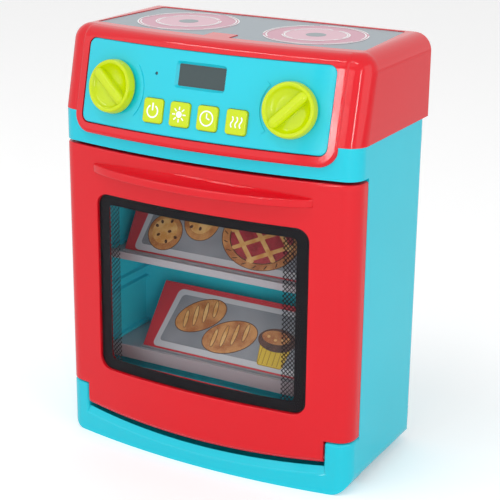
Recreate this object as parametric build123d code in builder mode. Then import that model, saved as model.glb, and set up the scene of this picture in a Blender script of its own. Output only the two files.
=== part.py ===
"""A toy oven: cabinet, leaning hood with control panel, hob and a drop-down door with a window.

Millimetres. +X is to the right as the cook sees it, -Y is the front, +Z is up. The origin is on the
ground, in the middle of the footprint. Depths are counted backwards from the front corners.
"""

from build123d import *
import math
import os

# ------------------------------------------------------------------ driving sizes
wall = 2.5                    # moulded wall of the cabinet and hood
far = 400.0                   # longer than the whole object, for cuts that run right through
slip = 0.3                    # clearance of a piece that is dropped into its place
screw_r = 1.25
screw_hole_r = 1.3
screw_head_r = 2.8
screw_head_high = 1.3

# the bow that all fronts share
cabinet_width = 225.0
half = cabinet_width / 2
bow_rise = 12.0               # how far the middle stands in front of the corners

# cabinet
cabinet_depth = 106.0
cabinet_top = 240.0
side_low = 8.0                # the side walls stop short of the ground
front_foot_depth = 24.0
front_corner_r = 12.0
back_corner_r = 8.0
lower_corner_r = 13.0
plinth_mid_high = 10.6
plinth_end_high = 15.5
block_high = 37.7             # corner blocks beside the foot of the door
block_inner_x = half - 17.1
block_round = 2.0             # edges of the blocks and of the plinth's lip
kerb_rise = 4.3               # the kerb stands so far above the lip, and leans back as it rises
kerb_slope = 0.37
kerb_back = 3.0               # the back of the kerb is so far inside the bow
kerb_root = 1.5               # how deep the kerb's foot is sunk in the plinth
kerb_front = 0.25
strip_low = 218.5             # the strip between door and hood
frame_depth = 18.0            # front face of the frame around the cavity
frame_thick = 2.5
rear_foot = (26.0, 12.0)
rear_foot_x = half - 26.5
back_rim = 9.5                # border that is left around the back opening
back_rim_thick = 8.0
cover_seat = 2.0              # overlap of the back cover on its seat
deck_screw_at = ((half - 14.5, 40.0), (half - 14.5, 92.0))

# door
door_gap = 0.6
door_top = 216.4
door_depth = 14.6
door_wall = 2.6
tongue_depth = 12.0
tongue_mid_low = 18.1
tongue_end_low = 21.9
tongue_round = 5.0
door_top_round = 1.5
door_edge_round = 1.2
window_edge_round = 0.7
hinge_depth = 0.8
hinge_high = 25.5
pin_r = 1.75
pin_fit = 0.06
pin_inner_x = half - 24.1
pin_outer_x = half - 10.5
handle_reach = 12.0
handle_half = half - 28.5
handle_low = 199.8
handle_ridge = 205.4          # height of the crisp ridge at the front of the handle
handle_fold = 205.3           # where its top meets the door: height at the ends, and extra in the middle
handle_fold_rise = 5.4
handle_blunt = 0.5            # the smaller, the blunter the handle's ends
handle_wall = 2.2
handle_room_half = half - 48.5

# window
window_half = half - 31.0
window_low = 54.8
window_high = 184.5
window_corner = 9.0
clear_half = half - 39.9
clear_low = 63.0
clear_high = 177.2
clear_corner = 3.5
pane_sunk = 1.0
pane_thick = 1.6
print_thick = 0.28
print_gap = 0.02
inner_frame_depth = 11.0
inner_frame_thick = 2.4
frame_hold = 2.0              # how far the inner frame reaches over the pane's edge
frame_open = 4.5              # how far its opening is outside the window

# cavity
cavity_half = half - 15.5
cavity_low = 47.0
cavity_high = 198.0
cavity_depth = 77.0
liner_wall = 2.0
liner_flange = 4.0
rack_play = 0.6
rack_thick = 1.7
guide_wide = 4.0
guide_thick = 2.0
spare_guides = (95.5, 103.5)

# racks and food cards: height of the plate's top, rail, and the card's place, slope and length
rack_front_depth = 20.0
rail_thick = 2.6
slot_row_depth = 25.5
slot_size = (9.0, 5.0)
card_thick = 1.0
card_foot_depth = 31.0
card_width = 154.0
card_seat = 0.05
gusset_wide = 3.0
upper = {"top": 131.6, "rail": (129.3, 134.5), "card_x": -7.5, "slope": 59.0, "length": 52.0}
lower = {"top": 60.0, "rail": (53.8, 63.5), "card_x": 7.0, "slope": 51.5, "length": 52.0}

# hood
hood_half = half + 0.7
hood_depth = 108.5
hood_side_low = 240.0
hood_top = 296.2
hood_proud = 1.1              # the leaning face stands in front of the cabinet at its foot
lean = math.tan(math.radians(13.75))
hood_corner_r = 13.0
hood_top_round = 12.0
slab_half = half - 13.2       # the raised front of the hood
slab_low = 226.6
slab_step = 1.2
slab_corner = 13.0
slab_round = 2.6
slab_thick = 3.7
ledge_low = 231.3             # inside the hood's apron, above the cabinet's strip

# control panel
panel_half = half - 20.0
panel_low = 234.0
panel_high = 289.3
panel_corner = 5.5
panel_sunk = 0.6
panel_thick = 2.4
panel_lip = 2.8
panel_mid_high = 262.0

# things in the panel: place across and height up the face
display_at = (0.3, 274.0)
display_size = (34.6, 14.4)
display_frame = (39.4, 19.4)
display_sunk = 2.4
display_thick = 2.0
light_at = (-33.3, 272.7)
light_r = 0.95
button_x = (-31.9, -11.1, 9.6, 30.5)
button_high = 249.0
button_size = (15.0, 16.2)
button_corner = 2.2
button_proud = 1.9
button_back = 7.6             # depth of the button's stem behind the panel's middle
knob_x = half - 46.4
knob_high = 260.0
knob_r = 18.2
knob_thick = 7.0
knob_dish = 3.4
knob_rim = 2.6
knob_lift = 0.4
grip_wide = 7.6
grip_proud = 1.6
knob_turn = (-37.0, 45.0)     # how the grips stand, left and right
shaft_r = 4.0
shaft_fit = 0.08
arc_r = (21.0, 24.2)          # raised crescents beside the knobs
arc_proud = 0.5
arc_half_angle = 42.0

# electronics behind the panel
board_depth = 12.0
board_size = (92.0, 42.0)
board_thick = 1.6
pad_thick = 1.2
dome_r = 3.0
dome_high = 1.5
board_screw_x = 42.0
board_screw_up = 8.0

# hob
hob_sunk = 1.2
hob_thick = 0.7
hob_front_depth = 20.5
hob_back_depth = 104.0
hob_front_half = half - 11.5
hob_back_half = half - 17.0
hob_bow = 7.0
tab_x = (-12.0, 7.0)
tab_back_depth = 33.0

# back
speaker_r = 20.0
speaker_thick = 8.0
speaker_at = (60.0, 190.0)
battery_r = 7.1
battery_long = 50.0
battery_pitch = 14.8
battery_count = 3
contact_gap = 4.0
contact_thick = 0.5
contact_r = 3.0
box_wall = 1.5
box_low = 58.0
box_screw_room = 11.0
battery_play = 0.2

# ------------------------------------------------------------------ derived places
bow_r = (half ** 2 + bow_rise ** 2) / (2 * bow_rise)
front_line_y = -(hood_depth - bow_rise - handle_reach) / 2


def at(depth):
    """Y of a place so far behind the front corners."""
    return front_line_y + depth


def bow_y(x, inset=0.0):
    """Y of the bowed front, or of a surface that runs so far inside it."""
    return at(bow_r - bow_rise) - math.sqrt((bow_r - inset) ** 2 - x ** 2)


def face_y(x, high, inset=0.0):
    """Y of the hood's leaning front face at a height."""
    return bow_y(x, inset) - hood_proud + (high - hood_side_low) * lean


def front_plane(y):
    """A plane across the object at y: it faces forward, its second axis is up."""
    return Plane(origin=(0, y, 0), x_dir=(1, 0, 0), z_dir=(0, -1, 0))


def panel_plane(x, high, turn=0.0):
    """A plane on the panel's face, leaning with it, and turned sideways with the bow by turn."""
    turned = Vector(math.sin(turn), -math.cos(turn), lean).normalized()
    across = Vector(math.cos(turn), math.sin(turn), 0)
    return Plane(origin=(x, face_y(x, high, panel_sunk), high), x_dir=across, z_dir=turned)


# ------------------------------------------------------------------ shapes that repeat
def bowed_outline(level, half_width, back_y, inset=0.0, front_corner=0.0, back_corner=0.0, shift=0.0):
    """Plan of a block with a bowed front, straight sides and a straight back."""
    corner_y = bow_y(half_width, inset) + shift
    with BuildSketch(Plane.XY.offset(level)) as plan:
        with BuildLine():
            ThreePointArc((-half_width, corner_y), (0, bow_y(0, inset) + shift), (half_width, corner_y))
            Polyline((half_width, corner_y), (half_width, back_y),
                     (-half_width, back_y), (-half_width, corner_y))
        make_face()
        if front_corner > 0:
            fillet(plan.vertices().sort_by(Axis.Y)[:2], front_corner)
        if back_corner > 0:
            fillet(plan.vertices().sort_by(Axis.Y)[-2:], back_corner)
    return plan.sketch


def front_outline(y, half_width, low, high, corner=0.0):
    """Front view of an upright plate with rounded corners."""
    with BuildSketch(front_plane(y)) as view:
        with Locations((0, (low + high) / 2)):
            if corner > 0:
                RectangleRounded(2 * half_width, high - low, corner)
            else:
                Rectangle(2 * half_width, high - low)
    return view.sketch


def door_view(y, half_width, top, ends_low, tongue_half, low_end, low_mid):
    """Front view of the door: a tongue with a curved foot hangs between two blocks."""
    with BuildSketch(front_plane(y)) as view:
        with BuildLine():
            Polyline((-tongue_half, low_end), (-tongue_half, ends_low), (-half_width, ends_low),
                     (-half_width, top), (half_width, top), (half_width, ends_low),
                     (tongue_half, ends_low), (tongue_half, low_end))
            ThreePointArc((tongue_half, low_end), (0, low_mid), (-tongue_half, low_end))
        make_face()
    return view.sketch


def leaning_outline(level, half_width, back_y, inset=0.0, front_corner=0.0):
    """Plan of the hood at a height, where its front has leaned back."""
    shift = (level - hood_side_low) * lean - hood_proud
    return bowed_outline(level, half_width, back_y, inset, front_corner, 0, shift)


def bowed_plate(view, front_inset, back_inset, low, high):
    """A plate that follows the cabinet's bow, cut out by a front view."""
    with BuildPart() as plate:
        extrude(bowed_outline(low, half, at(far / 4), front_inset), amount=high - low)
        extrude(bowed_outline(low - 1, half + 1, at(far), back_inset), amount=high - low + 2,
                mode=Mode.SUBTRACT)
        extrude(view, amount=-far, mode=Mode.INTERSECT)
    return plate.part


def leaning_plate(view, front_inset, back_inset, low, high):
    """A plate that follows the hood's leaning face, cut out by a front view."""
    with BuildPart() as plate:
        lean_extrude(leaning_outline(low, half, at(far / 4), front_inset), high - low)
        lean_extrude(leaning_outline(low - 1, half + 1, at(far), back_inset), high - low + 2,
                     Mode.SUBTRACT)
        extrude(view, amount=-far, mode=Mode.INTERSECT)
    return plate.part


def block(x, y, z, mode=Mode.ADD):
    """A block between pairs of limits along X, Y and Z."""
    with Locations(((x[0] + x[1]) / 2, (y[0] + y[1]) / 2, (z[0] + z[1]) / 2)):
        Box(x[1] - x[0], y[1] - y[0], z[1] - z[0], mode=mode)


def both_sides(x, y, z, mode=Mode.ADD):
    """The same block on the right and, mirrored, on the left."""
    block(x, y, z, mode)
    block((-x[1], -x[0]), y, z, mode)


def rod(start, direction, r, long, mode=Mode.ADD):
    """A round bar or hole from a point."""
    with BuildSketch(Plane(origin=start, z_dir=direction)) as end:
        Circle(r)
    extrude(end.sketch, amount=long, mode=mode)


def lean_extrude(sketch, high, mode=Mode.ADD):
    """Extrude upwards along the hood's lean."""
    extrude(sketch, amount=high * math.sqrt(1 + lean ** 2), dir=(0, lean, 1), mode=mode)


def screw(head_at, direction, long):
    """A pan-head screw: direction is the way that it was driven."""
    rod(head_at, direction, screw_head_r, screw_head_high)
    tip = Vector(head_at) + Vector(direction).normalized() * screw_head_high
    rod(tip, direction, screw_r, long)


def finish(builder, name):
    """Name the piece and write its file."""
    builder.part.label = name
    export_step(builder.part, f"parts/{name}.step")
    print(name, len(builder.part.solids()), round(builder.part.volume, 1))


os.makedirs("parts", exist_ok=True)
BACK = (0, 1, 0)
UP = (0, 0, 1)

# ------------------------------------------------------------------ cabinet shell
inner_half = half - wall
kerb_half = block_inner_x + block_round
liner_half = cavity_half + liner_wall
liner_low = cavity_low - liner_wall
liner_high = cavity_high + liner_wall
notch_half = slab_half - 3.5
back_seat_half = half - back_rim
cover_half = back_seat_half + cover_seat
cover_low = side_low + back_rim - cover_seat
cover_high = cabinet_top - back_rim + cover_seat
cover_thick = wall
cover_screw_x = back_seat_half - 4.0
cover_screw_z = (side_low + back_rim + 4.0, cabinet_top - back_rim - 4.0)
boss_half = 4.0

with BuildPart() as cabinet_shell:
    extrude(bowed_outline(0, half, at(cabinet_depth), 0, front_corner_r, back_corner_r),
            amount=cabinet_top)
    extrude(front_outline(at(-far / 4), half, 0, cabinet_top + lower_corner_r, lower_corner_r),
            amount=-far, mode=Mode.INTERSECT)
    block((-half, half), (at(front_foot_depth), at(cabinet_depth + 1)), (-1, side_low), Mode.SUBTRACT)
    # pocket for the door, and the deeper field that takes the liner's flange
    pocket = door_view(at(-far / 4), half + 1, strip_low, block_high, block_inner_x,
                       plinth_end_high, plinth_mid_high)
    extrude(pocket, amount=-(far / 4 + door_depth + door_gap), mode=Mode.SUBTRACT)
    field = door_view(at(-far / 4), inner_half - 5, strip_low - wall, block_high + door_gap,
                      block_inner_x, plinth_end_high, plinth_mid_high)
    extrude(field, amount=-(far / 4 + frame_depth), mode=Mode.SUBTRACT)
    # rounded corner blocks and plinth lip
    block_tops = cabinet_shell.faces().filter_by(Axis.Z).filter_by(
        lambda face: abs(face.center().Z - block_high) < 0.1)
    top_edges = block_tops.edges().filter_by(lambda edge: edge.center().Y < at(door_depth))
    inner_edges = cabinet_shell.edges().filter_by(Axis.Z).filter_by(
        lambda edge: abs(abs(edge.center().X) - block_inner_x) < 0.1
        and edge.center().Y < at(0) and edge.center().Z < block_high)
    lip_edge = cabinet_shell.edges().filter_by(
        lambda edge: abs(edge.center().Z - plinth_mid_high) < 1 and edge.center().Y < at(0)
        and edge.length > block_inner_x)
    fillet([*top_edges, *inner_edges, *lip_edge], block_round)
    # kerb that rises behind the lip, with a front that leans back, and hides the door's foot
    with BuildSketch(front_plane(at(-far / 4)), mode=Mode.PRIVATE) as bed_view:
        with BuildLine():
            ends = (kerb_half, plinth_end_high - kerb_root)
            Polyline(ends, (kerb_half, 0), (-kerb_half, 0), (-ends[0], ends[1]))
            ThreePointArc((-ends[0], ends[1]), (0, plinth_mid_high - kerb_root), ends)
        make_face()
    with BuildPart(mode=Mode.PRIVATE) as bed:
        extrude(bowed_outline(0, kerb_half, at(block_round), kerb_front), amount=block_high)
        extrude(bed_view.sketch, amount=-far, mode=Mode.INTERSECT)
    with BuildPart(mode=Mode.PRIVATE) as kerb:
        extrude(bed.faces().sort_by(Axis.Z)[-1], dir=(0, kerb_slope, 1),
                amount=(kerb_rise + kerb_root) * math.sqrt(1 + kerb_slope ** 2))
        extrude(bowed_outline(0, half + 2, at(far), kerb_back), amount=cabinet_top,
                mode=Mode.SUBTRACT)
    add(kerb.part)
    # rooms inside: behind the frame, and behind the strip
    inside = (at(frame_depth + frame_thick), at(cabinet_depth - back_rim_thick))
    block((-inner_half, inner_half), inside, (side_low + wall, cabinet_top - wall), Mode.SUBTRACT)
    extrude(bowed_outline(strip_low + wall, inner_half, at(frame_depth + frame_thick + 1), wall,
                          front_corner_r - wall),
            amount=cabinet_top - wall - strip_low - wall, mode=Mode.SUBTRACT)
    block((-back_seat_half, back_seat_half), (at(cabinet_depth - back_rim_thick - 1), at(far)),
          (side_low + back_rim, cabinet_top - back_rim), Mode.SUBTRACT)
    block((-cover_half, cover_half), (at(cabinet_depth - cover_thick), at(far)),
          (cover_low, cover_high), Mode.SUBTRACT)
    # opening for the liner, and the gap in the strip behind the control panel
    block((-liner_half - slip, liner_half + slip), (at(frame_depth - 2), inside[0] + 1),
          (liner_low - slip, liner_high + slip), Mode.SUBTRACT)
    block((-notch_half, notch_half), (at(-bow_rise - 5), at(frame_depth + 4)),
          (ledge_low - 0.5, cabinet_top + 1), Mode.SUBTRACT)
    # rim that keeps the hood in place
    neck = (hood_half - wall - slip - wall, hood_half - wall - slip)
    both_sides(neck, (at(30), at(cabinet_depth - 8)), (cabinet_top - wall, cabinet_top + 5))
    # rear feet
    both_sides((rear_foot_x - rear_foot[0] / 2, rear_foot_x + rear_foot[0] / 2),
               (at(cabinet_depth - 6 - rear_foot[1]), at(cabinet_depth - 6)), (0, side_low + wall))
    # bosses for the back cover's screws
    for screw_z in cover_screw_z:
        both_sides((cover_screw_x - boss_half, inner_half + 1),
                   (inside[1] - 8, at(cabinet_depth - cover_thick)),
                   (screw_z - boss_half, screw_z + boss_half))
        for side in (-1, 1):
            rod((side * cover_screw_x, at(cabinet_depth), screw_z), (0, -1, 0), screw_hole_r,
                14, Mode.SUBTRACT)
    # holes in the deck for the hood's screws, and bores for the hinge pins
    for side in (-1, 1):
        for screw_x, screw_depth in deck_screw_at:
            rod((side * screw_x, at(screw_depth), cabinet_top - wall - 1), UP, screw_hole_r,
                wall + 2, Mode.SUBTRACT)
        rod((side * (block_inner_x - 1), at(hinge_depth), hinge_high), (side, 0, 0), pin_r + pin_fit,
            pin_outer_x + slip - block_inner_x + 1, Mode.SUBTRACT)
finish(cabinet_shell, "cabinet_shell")

# ------------------------------------------------------------------ hinge pins
with BuildPart() as hinge_pins:
    for side in (-1, 1):
        rod((side * pin_inner_x, at(hinge_depth), hinge_high), (side, 0, 0), pin_r,
            pin_outer_x - pin_inner_x)
finish(hinge_pins, "hinge_pins")

# ------------------------------------------------------------------ oven liner
rack_half = cavity_half - rack_play
flange_depth = (frame_depth - liner_wall, frame_depth)

with BuildPart() as oven_liner:
    block((-liner_half, liner_half), (at(flange_depth[0]), at(cavity_depth + liner_wall)),
          (liner_low, liner_high))
    block((-liner_half - liner_flange, liner_half + liner_flange),
          (at(flange_depth[0]), at(flange_depth[1])),
          (liner_low - liner_flange + 1, liner_high + liner_flange))
    block((-cavity_half, cavity_half), (at(flange_depth[0] - 1), at(cavity_depth)),
          (cavity_low, cavity_high), Mode.SUBTRACT)
    guides = [level["top"] - rack_thick - guide_thick for level in (upper, lower)]
    guides += [level["top"] + slip for level in (upper, lower)]
    for guide_low in [*guides, *spare_guides]:
        both_sides((cavity_half - guide_wide, cavity_half + 0.1),
                   (at(rack_front_depth + rail_thick + 8), at(cavity_depth + 0.1)),
                   (guide_low, guide_low + guide_thick))
finish(oven_liner, "oven_liner")


# ------------------------------------------------------------------ racks and food cards
def card_plane(level):
    """Plane of a card's picture side: it leans back from its foot on the rack."""
    slope = math.radians(level["slope"])
    foot_lift = card_thick * math.cos(slope) + card_seat
    return Plane(origin=(level["card_x"], at(card_foot_depth), level["top"] + foot_lift),
                 x_dir=(1, 0, 0), z_dir=(0, -math.sin(slope), math.cos(slope)))


def make_rack(level, name):
    """A rack: plate with a row of slots, front rail, a foot rib and two props for the card."""
    slope = math.radians(level["slope"])
    plate = (level["top"] - rack_thick, level["top"])
    back = cavity_depth - rack_play
    with BuildPart() as rack:
        block((-rack_half, rack_half), (at(rack_front_depth), at(back)), plate)
        block((-rack_half + guide_wide, rack_half - guide_wide),
              (at(rack_front_depth), at(rack_front_depth + rail_thick)), level["rail"])
        with BuildSketch(Plane.XY.offset(plate[0] - 1)) as slots:
            with Locations((0, at(slot_row_depth + 1))):
                with GridLocations(slot_size[0] + 4, 0, 13, 1):
                    Rectangle(*slot_size)
        extrude(slots.sketch, amount=rack_thick + 2, mode=Mode.SUBTRACT)
        block((level["card_x"] - card_width / 2, level["card_x"] + card_width / 2),
              (at(card_foot_depth - 1.9), at(card_foot_depth - 0.4)), (plate[1] - 0.2, plate[1] + 1.6))
        foot_y = at(card_foot_depth) + card_thick / math.sin(slope) + card_seat
        reach = level["length"] * 0.85
        for prop_x in (-card_width / 3, card_width / 3):
            x = level["card_x"] + prop_x
            with BuildSketch(Plane(origin=(x, 0, 0), x_dir=(0, 1, 0), z_dir=(1, 0, 0))) as prop:
                with BuildLine():
                    base = plate[1] - 0.2
                    tip = (foot_y + reach * math.cos(slope), plate[1] + reach * math.sin(slope))
                    Polyline((foot_y - 0.2 / math.tan(slope), base), tip, (tip[0] + 4, tip[1] - 3),
                             (tip[0] + 6, base), close=True)
                make_face()
            extrude(prop.sketch, amount=gusset_wide / 2, both=True)
    finish(rack, name)
    return rack


def make_card(level, name):
    """A printed card that leans on the rack's props."""
    with BuildPart() as card:
        with BuildSketch(card_plane(level)) as face:
            with Locations((0, level["length"] / 2)):
                Rectangle(card_width, level["length"])
        extrude(face.sketch, amount=-card_thick)
    finish(card, name)
    return card


upper_rack = make_rack(upper, "upper_rack")
lower_rack = make_rack(lower, "lower_rack")
upper_food_card = make_card(upper, "upper_food_card")
lower_food_card = make_card(lower, "lower_food_card")

# ------------------------------------------------------------------ door panel
view_y = at(-far / 4)
block_top_gap = block_high + door_gap
tongue_half = block_inner_x - door_gap
door_inner_half = half - door_wall
tongue_room_half = pin_inner_x - 1.5
frame_screw_x = window_half + frame_open + 12.0
frame_screw_z = (window_low - 3, (window_low + window_high) / 2, window_high + 18)
frame_boss_r = 3.4
catch_half = 11.0
catch_low = 206.5
catch_thick = 3.0
catch_play = 1.0


def handle_reach_at(x):
    """How far the handle's lip stands in front of the door at a place across."""
    share = 1 - (x / handle_half) ** 2
    return (handle_reach + slip) * max(share, 0) ** handle_blunt - slip


def side_view(x, *points):
    """Plane and closed outline of a side view at x, as straight lines between points."""
    with BuildSketch(Plane(origin=(x, 0, 0), x_dir=(0, 1, 0), z_dir=(1, 0, 0))) as view:
        with BuildLine():
            Polyline(*points, close=True)
        make_face()
    return view.sketch


def handle_section(x):
    """Side view of the handle: a shelf with a crisp ridge, and a top that sweeps up to the door."""
    fold = handle_fold + handle_fold_rise * (1 - (x / handle_half) ** 2)
    root_y = bow_y(x) + door_wall * 0.8
    lip_y = bow_y(x) - handle_reach_at(x)
    low, ridge = handle_low, handle_ridge
    with BuildSketch(Plane(origin=(x, 0, 0), x_dir=(0, 1, 0), z_dir=(1, 0, 0))) as section:
        with BuildLine():
            Line((root_y, low), (root_y, fold + 0.1))
            Spline((root_y, fold + 0.1), (lip_y + 1.2, ridge), tangents=((-1, -0.9), (-1, -0.12)))
            ThreePointArc((lip_y + 1.2, ridge), (lip_y + 0.36, ridge - 0.36), (lip_y, ridge - 1.2))
            Line((lip_y, ridge - 1.2), (lip_y, low + 1.0))
            ThreePointArc((lip_y, low + 1.0), (lip_y + 0.3, low + 0.3), (lip_y + 1.0, low))
            Line((lip_y + 1.0, low), (root_y, low))
        make_face()
    return section.sketch


def handle_room_section(x):
    """Side view of the hollow under the handle, where the fingers go."""
    fold = handle_fold + handle_fold_rise * (1 - (x / handle_half) ** 2)
    back_y = bow_y(x) - 0.6
    lip_y = bow_y(x) - handle_reach_at(x) + handle_wall
    return side_view(x, (back_y, handle_low - 5), (back_y, fold - handle_wall),
                     (lip_y, handle_ridge - handle_wall), (lip_y, handle_low - 5))


with BuildPart() as handle:
    stations = [math.sin(math.radians(10 * number)) for number in range(-9, 10)]
    loft([handle_section(share * handle_half) for share in stations])

with BuildPart() as handle_room:
    stations = [number / 5 for number in range(-5, 6)]
    loft([handle_room_section(share * handle_room_half) for share in stations])

with BuildPart() as door_panel:
    extrude(bowed_outline(tongue_mid_low, half, at(door_depth), 0, front_corner_r),
            amount=door_top - tongue_mid_low)
    extrude(door_view(view_y, half + 1, door_top, block_top_gap, tongue_half, tongue_end_low,
                      tongue_mid_low), amount=-far, mode=Mode.INTERSECT)
    block((-half, half), (at(tongue_depth), at(door_depth + 1)), (0, block_top_gap), Mode.SUBTRACT)
    top_edges = door_panel.edges().filter_by_position(Axis.Z, door_top - 0.1, door_top + 0.1)
    fillet(top_edges.sort_by(Axis.Y)[:-1], door_top_round)
    foot = door_panel.edges().filter_by_position(Axis.Z, tongue_mid_low - 1, tongue_end_low + 0.1)
    fillet(foot.sort_by(Axis.Y)[:1], tongue_round)
    end_edges = door_panel.edges().filter_by(
        lambda edge: abs(edge.center().Z - block_top_gap) < 0.1 and edge.center().Y < at(tongue_depth)
        and abs(edge.center().X) > tongue_half + 0.1)
    tongue_edges = door_panel.edges().filter_by(Axis.Z).filter_by(
        lambda edge: abs(abs(edge.center().X) - tongue_half) < 0.1 and edge.center().Y < at(0))
    fillet([*end_edges, *tongue_edges], door_edge_round)
    # hollow behind the front wall, and in the tongue between its solid ends
    extrude(bowed_outline(block_top_gap + door_wall, door_inner_half, at(far), door_wall,
                          front_corner_r - door_wall),
            amount=door_top - block_top_gap - 2 * door_wall, mode=Mode.SUBTRACT)
    extrude(bowed_outline(tongue_end_low + door_wall, tongue_room_half, at(far), door_wall),
            amount=block_top_gap + door_wall - tongue_end_low, mode=Mode.SUBTRACT)
    # the handle, hollow from beneath
    add(handle.part)
    add(handle_room.part, mode=Mode.SUBTRACT)
    # opening for the window
    extrude(front_outline(view_y, window_half + slip, window_low - slip, window_high + slip,
                          window_corner + slip), amount=-far, mode=Mode.SUBTRACT)
    opening_edges = door_panel.edges().filter_by(
        lambda edge: abs(edge.center().X) < window_half + slip + 0.1
        and window_low - slip - 0.1 < edge.center().Z < window_high + slip + 0.1
        and abs(edge.center().Y - bow_y(edge.center().X)) < 0.9 * door_wall)
    fillet(opening_edges, window_edge_round)
    # bosses for the inner frame's screws, and bores for the hinge pins
    for side in (-1, 1):
        for screw_z in frame_screw_z:
            start = (side * frame_screw_x, at(inner_frame_depth), screw_z)
            boss_long = at(inner_frame_depth) - bow_y(frame_screw_x, door_wall / 2)
            rod(start, (0, -1, 0), frame_boss_r, boss_long)
            rod(start, (0, -1, 0), screw_hole_r, boss_long - door_wall / 2, Mode.SUBTRACT)
        rod((side * (tongue_half + 1), at(hinge_depth), hinge_high), (-side, 0, 0), pin_r + pin_fit,
            tongue_half + 1 - pin_inner_x + slip, Mode.SUBTRACT)
finish(door_panel, "door_panel")

# ------------------------------------------------------------------ window pane and its print
pane_back = pane_sunk + pane_thick
print_inset = (pane_back + print_gap, pane_back + print_gap + print_thick)
window_view = front_outline(view_y, window_half, window_low, window_high, window_corner)
clear_view = front_outline(view_y, clear_half, clear_low, clear_high, clear_corner)

with BuildPart() as window_pane:
    add(bowed_plate(window_view, pane_sunk, pane_back, window_low, window_high))
finish(window_pane, "window_pane")

with BuildPart() as window_border:
    add(bowed_plate(window_view, *print_inset, window_low, window_high))
    extrude(clear_view, amount=-far, mode=Mode.SUBTRACT)
finish(window_border, "window_border")

# ------------------------------------------------------------------ door inner frame
frame_half = door_inner_half - slip
frame_low = block_top_gap + door_wall + slip
frame_high = door_top - door_wall - slip
collar_half = window_half + frame_open
collar_low = window_low - frame_open
collar_high = window_high + slip
lip_inset = print_inset[1] + 0.1
lip_thick = 2.0
inner_frame_back = inner_frame_depth + inner_frame_thick

with BuildPart() as door_inner_frame:
    extrude(front_outline(at(inner_frame_depth), frame_half, frame_low, frame_high, 3.0),
            amount=-inner_frame_thick)
    extrude(front_outline(at(inner_frame_depth), collar_half, collar_low, collar_high, window_corner),
            amount=inner_frame_depth + bow_rise)
    extrude(bowed_outline(frame_low, half, at(far), lip_inset), amount=frame_high - frame_low,
            mode=Mode.INTERSECT)
    # a wide opening, with a narrow lip at its front that holds the pane
    with BuildPart(mode=Mode.PRIVATE) as room:
        extrude(front_outline(view_y, collar_half - frame_hold, collar_low + frame_hold,
                              window_high - frame_hold, window_corner - 1), amount=-far)
        extrude(bowed_outline(frame_low, half, at(far), lip_inset + lip_thick),
                amount=frame_high - frame_low, mode=Mode.INTERSECT)
    add(room.part, mode=Mode.SUBTRACT)
    extrude(front_outline(view_y, window_half - frame_hold, window_low + frame_hold,
                          window_high - frame_hold, window_corner - frame_hold),
            amount=-far, mode=Mode.SUBTRACT)
    # slot for the catch, and screw holes
    block((-catch_half - catch_play, catch_half + catch_play),
          (at(inner_frame_depth - 1), at(inner_frame_back + 1)),
          (catch_low - catch_play, catch_low + catch_thick + 0.6 + catch_play), Mode.SUBTRACT)
    for side in (-1, 1):
        for screw_z in frame_screw_z:
            rod((side * frame_screw_x, at(inner_frame_back + 1), screw_z), (0, -1, 0),
                screw_hole_r + 0.2, inner_frame_thick + 2, Mode.SUBTRACT)
finish(door_inner_frame, "door_inner_frame")

with BuildPart() as door_screws:
    for side in (-1, 1):
        for screw_z in frame_screw_z:
            screw((side * frame_screw_x, at(inner_frame_back + screw_head_high), screw_z),
                  (0, -1, 0), inner_frame_thick + 6)
finish(door_screws, "door_screws")

with BuildPart() as door_catch:
    block((-catch_half - 7, catch_half + 7), (at(frame_depth - 2.5), at(frame_depth)),
          (catch_low - 2, catch_low + catch_thick + 2))
    block((-catch_half, catch_half), (at(inner_frame_depth - 3), at(frame_depth - 2)),
          (catch_low, catch_low + catch_thick))
    block((-catch_half, catch_half), (at(inner_frame_depth - 3), at(inner_frame_depth - 1.5)),
          (catch_low, catch_low + catch_thick + 0.6))
finish(door_catch, "door_catch")

# ------------------------------------------------------------------ hood
hood_ceiling = hood_top - hob_sunk - 1.8
slab_top = hood_top - slip
back_block = ((-far, far), (at(hood_depth), at(far)), (0, far))
inner_back_block = ((-far, far), (at(hood_depth - wall), at(far)), (0, far))


def hob_outline(level, extra):
    """Plan of the hob sheet, or of its recess: bowed front, sides that draw in, and a notch."""
    front = at(hob_front_depth + hob_bow) - extra
    back = at(hob_back_depth) + extra
    with BuildSketch(Plane.XY.offset(level)) as plan:
        with BuildLine():
            ThreePointArc((-hob_front_half - extra, front), (0, front - hob_bow),
                          (hob_front_half + extra, front))
            Polyline((hob_front_half + extra, front), (hob_back_half + extra, back),
                     (-hob_back_half - extra, back), (-hob_front_half - extra, front))
        make_face()
        fillet(plan.vertices(), 2.5)
        tab_mid = (tab_x[0] + tab_x[1]) / 2
        with Locations((tab_mid, at(tab_back_depth) / 2 + (front - hob_bow - 4) / 2)):
            Rectangle(tab_x[1] - tab_x[0] - 2 * extra, at(tab_back_depth) - front + hob_bow + 4 - 2 * extra,
                      mode=Mode.SUBTRACT)
    return plan.sketch


with BuildPart() as slab:
    lean_extrude(leaning_outline(slab_low, slab_half, at(front_foot_depth)), slab_top - slab_low)
    extrude(front_outline(view_y, slab_half, slab_low, hood_top + 2 * slab_corner, slab_corner),
            amount=-far, mode=Mode.INTERSECT)
    top_edges = slab.edges().filter_by_position(Axis.Z, slab_top - 0.1, slab_top + 0.1)
    fillet(top_edges.sort_by(Axis.Y)[:1], hood_top_round - slab_step)
    rim_edges = slab.faces().sort_by(Axis.Y)[0].edges()
    fillet(rim_edges.filter_by(lambda edge: edge.center().Z < slab_top - hood_top_round), slab_round)

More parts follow.
